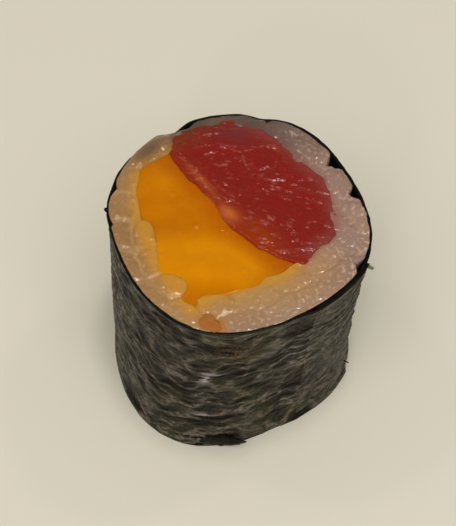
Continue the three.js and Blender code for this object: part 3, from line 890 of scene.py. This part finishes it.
# %% Thrown grains
def thrown_grains(seed, placed):
    """Grains thrown at the cut face. Those that meet rice and keep their distance stay."""
    draw = dice(seed)
    fillings = [curve_through(TUNA_OUTLINE, 3), curve_through(MANGO_OUTLINE, 3)]
    middles = [distance * unit(angle) for angle, distance, *_ in placed]
    kept = []
    for _ in range(THROWS):
        angle, distance, turn = draw(0, 360), draw(RICE_INMOST, RIM_RADIUS), draw(-35, 35)
        length, width = GRAIN_LENGTH * draw(0.8, 1.15), GRAIN_WIDTH * draw(0.9, 1.15)
        pitch, roll, lift = draw(-12, 12), draw(0, 60), draw(-0.8, -0.4)
        x, y = distance * unit(angle)
        if distance >= roll_radius(angle, HEIGHT) - THICKNESS - TO_SEAWEED:
            continue
        to_fillings = [distance_to(np.array([[x, y]]), f)[0] for f in fillings]
        if min(to_fillings) <= TO_FILLING or any(is_inside(x, y, f) for f in fillings):
            continue
        if any(np.hypot(x - mx, y - my) <= RICE_SPACING for mx, my in middles):
            continue
        middles.append((x, y))
        kept.append(dict(angle=angle, distance=distance, turn=turn, length=length, width=width,
                         pitch=pitch, roll=roll, lift=lift))
    return kept


top_grains = thrown_grains(7, SHOWN_GRAINS)
foot_grains = thrown_grains(19, [])
print(len(top_grains), "grains thrown at the cut face,", len(foot_grains), "at the foot")


# %% Core and cutters
def column(curve_at, levels):
    """A closed column through outlines at several heights."""
    rows = [curve_at(level) for level in levels]
    return skin(rows, rows[0].mean(0, keepdims=True), rows[-1].mean(0, keepdims=True))


TURN = np.arange(0, 360, 2.0)
LEVELS = (0, 1.3, 2.6, 8.0, 14.0, 19.4, 20.7)


def wall_inward(z):
    """How far inside the nori's own outline the rice ends: close at both cuts, less so between."""
    return THICKNESS + 0.06 + 0.5 * smoothstep(z, 0, 1.5) * smoothstep(HEIGHT - z, 0, 1.5)


core = column(
    lambda z: roll_point(TURN, z, wall_inward(z) - CORE_OVER),
    [CORE_SUNK, *LEVELS[1:], HEIGHT - CORE_SUNK],
)
filled_curve = curve_through(TUNA_BACK + MEETING_LINE[:1] + MANGO_BACK, 12)
edge = spaced_evenly(widened(filled_curve, -0.35), 0.3)
points, faces = column(lambda z: carry(edge, z), LEVELS)
points[:, 2][points[:, 2] < 0.1] = -2
points[:, 2][points[:, 2] > 20] = HEIGHT + 2
cutters = [new_object("filling_space", squeezed(points), faces)]
for hole_angle, arc, width, depth in HOLES:
    rings = []
    for hole_z, part in ((HEIGHT - depth, 0.4), (HEIGHT + 2, 1.0)):
        at = np.array([hole_angle - arc / 2 * part, hole_angle + arc / 2 * part, hole_angle])
        rings.append(roll_point(at, hole_z, [0, 0, THICKNESS + width * part]))
    middle_low, middle_high = rings[0].mean(0, keepdims=True), rings[1].mean(0, keepdims=True)
    points, faces = skin(rings, middle_low, middle_high)
    cutters.append(new_object("hole", squeezed(points), faces))
print("core of", len(core[0]), "points and", len(cutters), "cutters")

# %% Fuse the bed and cut the fillings out
bed_parts = [core] + [lay(**g) for g in top_grains]
bed_parts += [lay(**{**g, "lift": -g["lift"], "z": 0}) for g in foot_grains]
points, faces = join(bed_parts)
rice = new_object("rice_bed", squeezed(points), faces)
apply_modifier(rice, "REMESH", mode="VOXEL", voxel_size=BED_VOXEL)
for cutter in cutters:
    apply_modifier(rice, "BOOLEAN", operation="DIFFERENCE", solver="MANIFOLD", object=cutter)
    bpy.data.objects.remove(cutter)
bed = parts_of(rice)
shown = [lay(*g) for g in SHOWN_GRAINS]
points, faces = join([bed] + [(squeezed(p), f) for p, f in shown])
rice = new_object("rice_bed", points, faces)
apply_modifier(rice, "REMESH", mode="VOXEL", voxel_size=FINE_VOXEL)
apply_modifier(rice, "SMOOTH", factor=0.5, iterations=6)
print("fused rice", len(rice.data.vertices), "points")

# %% Pull the knife over it
points = stretched(points_of(rice))
places, angle, share = places_of(points)
high = points[:, 2] > HEIGHT / 2
knife = HEIGHT + 0.08 + 0.06 * noise_at(on_face(places), 3.0, 12.0)
over = np.maximum(0, points[:, 2] - knife)
lap_grain = bump(angle, 137, 16) * smoothstep(share, 0.82, 0.9)
points[:, 2] -= over * mix(0.7, 0.1, lap_grain)

# Starch and water fill the cracks between the grains, more so at the front, but not the gaps.
CRACK_DEPTHS, FILLED_DEPTHS = np.array([HEIGHT, 1.6, 0.6, 0.05]), np.array([HEIGHT, 1.6, 0.2, 0.03])
filled = np.interp(points[:, 2], HEIGHT - CRACK_DEPTHS, HEIGHT - FILLED_DEPTHS)
wetter = 0.1 + 0.7 * bump(angle, 290, 55)
points[:, 2] = np.maximum(mix(points[:, 2], filled, wetter), 0)

# Where the nori stands off, a three-cornered gap goes down beside it. The rice in it is painted
# near black later: painted shade.
from_nori = roll_radius(angle, points[:, 2]) * (1 - share) - THICKNESS
gap = np.zeros(len(points))
for at, arc, width, depth in HOLES + SLITS:
    width_here = width * (1 - np.abs(turned_from(angle, at)) / (arc / 2))
    here = smoothstep(width_here - from_nori, -0.05, 0.3) * high
    points[:, 2] -= here * np.maximum(0, points[:, 2] - HEIGHT + depth)
    gap = np.maximum(gap, here)
limit = 1 - wall_inward(points[:, 2]) / roll_radius(angle, points[:, 2])
too_far = share > limit
pulled = axis_at(points[:, 2]) + (points[:, :2] - axis_at(points[:, 2])) * (limit / share)[:, None]
points[too_far, :2] = pulled[too_far]

# The scrap of mango lies in a hollow of the rice.
scrap_place = carry(SCRAP_FROM * unit(SCRAP_ANGLE)[None], HEIGHT)[0]
along, across = along_and_across(points[:, :2] - scrap_place[:2], SCRAP_HEADING)
reach = np.hypot(along / (SCRAP_SIZE[0] / 2), across / (SCRAP_SIZE[1] / 2))
reach = reach + 0.25 * noise_at(points, 0.9, 5.5)
hollow = HEIGHT - 0.8 + 1.2 * smoothstep(reach, 0.45, 0.75)
points[:, 2] = np.where(high, np.minimum(points[:, 2], hollow), points[:, 2])
set_points(rice, points)
print("pressed down by the knife", int((over > 0.1).sum()), "points, in gaps", int((gap > 0.5).sum()))


# %% Which grain each point belongs to
def grain_cells(places, grains):
    """How far each place is from the seam between two grains, 0 to 1, and its grain's own number."""
    wander = np.column_stack([noise_at(on_face(places), 1.4, seed) for seed in (21.0, 33.0)])
    reach = []
    for g in grains:
        off = places + 0.3 * wander - g["distance"] * unit(g["angle"])
        along, across = along_and_across(off, g["angle"] + 90 + g["turn"])
        reach.append(np.hypot(along / (g["length"] / 2), across / (g["width"] / 2)))
    nearest = np.sort(reach, axis=0)[:2]
    own = np.argmin(reach, axis=0) * 0.618 % 1
    return smoothstep(nearest[1] - nearest[0], 0.0, 0.45), own


GRAIN_KEYS = ("angle", "distance", "turn", "length", "width")
top_all = [dict(zip(GRAIN_KEYS, g)) for g in SHOWN_GRAINS] + top_grains
top_cells, top_own = grain_cells(places, top_all)
foot_cells, foot_own = grain_cells(places, foot_grains)
whole = np.where(high, top_cells, foot_cells)
own = np.where(high, top_own, foot_own)
print("near a seam", round(100 * (whole < 0.5).mean()), "% of the points")

# %% Uneven grain skin
SKIN_FROM, SKIN_FADE = 2.4, 1.2
SEAM_DEPTH, BEAD_HEIGHT, THROWN_BEADS = 0.07, 0.09, 190
from_cut = HEIGHT - SKIN_FROM
shows = np.maximum(
    smoothstep(points[:, 2], from_cut, from_cut + SKIN_FADE),
    smoothstep(SKIN_FROM - points[:, 2], 0, SKIN_FADE),
)
seam = (1 - whole) * smoothstep(noise_at(points, 2.0, 8.1), -0.5, 0.3)
lumps = mix(0.1, 0.06, wetter) * noise_at(points, 1.5, 2.5)
grainy = lumps + 0.02 * noise_at(points, 0.6, 5.5) - SEAM_DEPTH * seam

# Juice stands on the rice in beads, where the photographed piece has its glints and between them.
RICE_BEADS = [
    (-12.5, 0.1), (-11.4, 0.0), (-12.2, -1.6), (-11.6, -2.8), (-10.0, -3.6), (-9.8, -3.9),
    (9.9, -7.4), (5.8, -8.2), (11.3, -3.5), (10.9, -5.1), (11.7, 1.3), (10.7, 1.7), (6.9, 9.1),
    (7.6, 6.6), (9.4, 4.9), (12.4, -1.0),
]
draw = dice(47)
rice_marks = [(x, y, 0.7, 0.6, 0) for x, y in RICE_BEADS]
for _ in range(THROWN_BEADS):
    turn, distance, size = draw(0, 360), draw(9.0, 13.1), draw(0.35, 0.6)
    rice_marks.append((*(distance * unit(turn)), size * draw(1, 1.3), size, draw(0, 180)))
beads = np.zeros(len(points))
beads[high] = marks(places[high], rice_marks)
grainy = grainy + BEAD_HEIGHT * beads
points = points + normals_of(rice) * (grainy * shows)[:, None]
points[:, 2] = np.clip(points[:, 2], 0, None)
set_points(rice, points)
print(len(rice_marks), "beads, skin from", grainy.min().round(2), "to", grainy.max().round(2), "mm")


# %% Numbers that colour the rice
def off_filling(places, curve):
    """How far each place is from a filling, and 0 for rice that hangs over it."""
    off = distance_to(places, curve)
    for i in np.flatnonzero(off < 1.6):
        if is_inside(*places[i], curve):
            off[i] = 0
    return off


# Darker at the back and on the long grain at the upper left: partly the dark nori seen through thin
# rice, partly painted shade.
thin = 0.95 * bump(angle, 85, 34) + 0.5 * bump(angle, 112, 9)
thin = thin + 0.8 * spot(places, (-9.3, 8.6), 5.5, 2.4, 45)
heart = smoothstep(whole, 0.55, 1.0) * bump(angle, 195, 50)
amber = heart + 0.8 * spot(places, (-11.9, -2.4), 2.2, 1.6) + 0.5 * spot(places, (-10.9, 4.0), 1.8, 1.4)
by_scrap = np.exp(-(np.maximum(reach - 0.75, 0) / 0.3) ** 2) * high
for name, values in (
    ("to_mango", off_filling(places, mango_curve)), ("to_tuna", off_filling(places, tuna_curve)),
    ("amber", np.clip(amber, 0, 1)), ("thin", np.clip(thin, 0, 1)), ("own", own), ("seam", seam),
    ("gap", gap), ("by_scrap", by_scrap),
):
    paint(rice, name, values)
    print("painted", name, "up to", np.max(values).round(2))

# %% Rice finish
material, tree, shader = new_material("rice")
colour = tinted(tree, (0.3985, 0.261, 0.1893, 1), "own", (0.30, 0.19, 0.145), share=0.6)
# Lighter specks: partly the rice's own mottling, partly painted sparkle.
specks_and_sparkle = range_node(tree, noise_node(tree, 0.45, 1.0), 0.55, 0.70, 0.0, 0.6)
colour = mix_colour(tree, specks_and_sparkle, colour, (0.72, 0.53, 0.40, 1))
# Among these tints, the to_mango one within 1.1 mm is partly juice stain and partly painted light that
# the mango scatters into the rice. The seam one is painted shade in the seams between grains, the thin
# one is partly painted shade, and the gap one is painted shade, near black, in the gaps beside the
# nori.
for name, far, near, share, tint in (
    ("to_mango", 5.5, 1.0, 0.74, (0.56, 0.30, 0.065)), ("amber", 0.0, 1.0, 0.6, (0.31, 0.16, 0.055)),
    ("to_tuna", 3.4, 0.0, 0.45, (0.40, 0.23, 0.19)), ("to_tuna", 0.8, 0.0, 0.6, (0.34, 0.11, 0.075)),
    ("to_mango", 1.1, 0.0, 0.8, (0.66, 0.31, 0.02)), ("seam", 0.0, 1.0, 0.2, (0.30, 0.16, 0.07)),
    ("by_scrap", 0.0, 1.0, 0.85, (0.50, 0.19, 0.025)), ("thin", 0.0, 1.0, 0.9, (0.10, 0.062, 0.046)),
    ("gap", 0.1, 0.7, 1.0, (0.006, 0.005, 0.004)),
):
    colour = tinted(tree, colour, name, tint, far, near, share)
fine, coarse = noise_node(tree, 0.35, 0.0), noise_node(tree, 0.8, 0.0)
wear(tree, shader, colour, fine, coarse, 0.00004, (0.08, 0.22), {
    "Specular IOR Level": 0.5, "Subsurface Weight": 0.7, "Subsurface Radius": (1.0, 0.65, 0.4),
    "Subsurface Scale": 0.0006,
})
finish_piece(rice, material, "rice", "rice")

# %% [markdown]
# ## Scrap of mango
#
# A torn bit of mango was pressed between the grains at the front. It is a grain-sized lump with
# noise on it, and it lies in the hollow that was pressed into the rice.

# %% Scrap
points, faces = grain(SCRAP_SIZE[0], SCRAP_SIZE[1])
scrap = new_object("mango_bit", points, faces)
apply_modifier(scrap, "SUBSURF", levels=2)
points = points_of(scrap) * [1, 1, SCRAP_SIZE[2] / SCRAP_SIZE[1]]
points[:, 1] *= 1 - 0.35 * points[:, 0] / (SCRAP_SIZE[0] / 2)
points += normals_of(scrap) * (0.7 * noise_at(points, 1.0, 3.3))[:, None]
points = turned_by(points, 0, 0, np.radians(SCRAP_HEADING)) + scrap_place - [0, 0, SCRAP_SUNK]
points[:, 2] -= 0.8 * np.maximum(0, points[:, 2] - HEIGHT + 0.05)
set_points(scrap, points)
for name, value in (("to_tuna", 2.2), ("bright", 0.0), ("dull", 1.0)):
    paint(scrap, name, np.full(len(points), value))
finish_piece(scrap, MANGO_MATERIAL, "mango", "mango_scrap")

# %% [markdown]
# ## Bits of nori
#
# Crumbs of the sheet cling to it: a wet fold at the front of the foot, torn tips at the free edge
# and one pale green flake. Each is a small plump body that is pressed flat and made uneven.

# %% Bits of nori
# Angle, height, how far out, length, width, thickness, turns about the three axes, and how green.
NORI_BITS = [
    (*FOOT_FOLD, -0.27, 6.2, 2.0, 0.36, 90, 0, 0, 0), (257, 0.3, -0.25, 0.9, 0.5, 0.3, 0, 0, 20, 0),
    (266, 0.25, -0.34, 1.3, 0.6, 0.3, 0, 0, -15, 0), (338, 3.1, 0.25, 1.2, 0.6, 0.12, 60, 35, 60, 0),
    (176, 22.0, -0.15, 0.6, 0.4, 0.3, 0, 0, 40, 0), (339, 20.5, 0.3, 1.2, 0.9, 0.2, 30, 20, 50, 1),
]
parts, greens = [], []
for at, up, out, length, width, thickness, roll, pitch, yaw, green in NORI_BITS:
    bit = new_object("bit", *grain(length, width, 0.04 * length))
    apply_modifier(bit, "SUBSURF", levels=1)
    bit_points, faces = parts_of(bit)
    uneven = 1 + 0.25 * noise_at(bit_points, 0.5, at)
    bit_points = bit_points * [1, 1, thickness / width] * uneven[:, None]
    bit_points = turned_by(bit_points, np.radians(roll), np.radians(pitch), np.radians(at + 90 + yaw))
    bit_points = bit_points + roll_point(at, up, -out)
    bit_points[:, 2] = np.maximum(bit_points[:, 2], 0.01)
    parts.append((bit_points, faces))
    greens += [green] * len(bit_points)
bits = new_object("nori_bits", *join(parts))
# The bits get the near black of the nori's hollows, which is painted shade. The green flake gets olive
# green: painted light shining through the thin nori.
for name, value in (("crest", 0.15), ("sheen", 0.0), ("rust", 0.0)):
    paint(bits, name, np.full(len(greens), value))
paint(bits, "olive", greens)
finish_piece(bits, NORI_MATERIAL, "seaweed")

# %% [markdown]
# ## Surface and light
#
# A pale, warm surface under two large soft lights from above and in front. Four small ones, low in
# front, overhead and behind on both sides, give the wet food its glints.

# %% Floor
FLOOR_REACH = 1500
corners = [(x * FLOOR_REACH, y * FLOOR_REACH, 0) for x, y in ((-1, -1), (1, -1), (1, 1), (-1, 1))]
floor = new_object("floor", corners, [(0, 1, 2, 3)])
floor.data.transform(Matrix.Scale(MM, 4))
material, _, shader = new_material("pale_surface")
shader.inputs["Base Color"].default_value = (0.80, 0.755, 0.62, 1)
shader.inputs["Roughness"].default_value = 0.5
floor.data.materials.append(material)
print("floor", 2 * FLOOR_REACH * MM, "m wide")


# %% Lights
LIT_POINT = Vector((0, 0, 0.02))


def area_light(name, place, size, power, colour):
    """A square light turned to the piece. Its place and its size are in metres."""
    light = bpy.data.lights.new(name, "AREA")
    light.size, light.energy, light.color = size, power, colour
    lamp = bpy.data.objects.new(name, light)
    lamp.location = place
    lamp.rotation_euler = (LIT_POINT - Vector(place)).to_track_quat("-Z", "Y").to_euler()
    bpy.context.scene.collection.objects.link(lamp)
    print(name, "light,", power, "W")


SOFT, WARM = (1.0, 0.98, 0.95), (1.0, 0.97, 0.92)
area_light("key", (0.10, -0.45, 0.95), 0.9, 4.6, SOFT)
area_light("front", (-0.40, -0.55, 0.95), 0.6, 1.9, SOFT)
area_light("glint_front", (-0.12, -0.45, 0.30), 0.05, 0.16, (1.0, 0.97, 1.0))
area_light("glint_over", (0.05, 0.01, 0.55), 0.06, 0.42, WARM)
area_light("glint_left", (-0.24, 0.14, 0.50), 0.05, 0.11, WARM)
area_light("glint_right", (0.26, 0.18, 0.48), 0.05, 0.11, WARM)
world = bpy.data.worlds.new("room")
world.use_nodes = True
world.node_tree.nodes["Background"].inputs["Color"].default_value = (*SOFT, 1)
world.node_tree.nodes["Background"].inputs["Strength"].default_value = 0.25
bpy.context.scene.world = world
bpy.context.scene.view_settings.view_transform = "Standard"
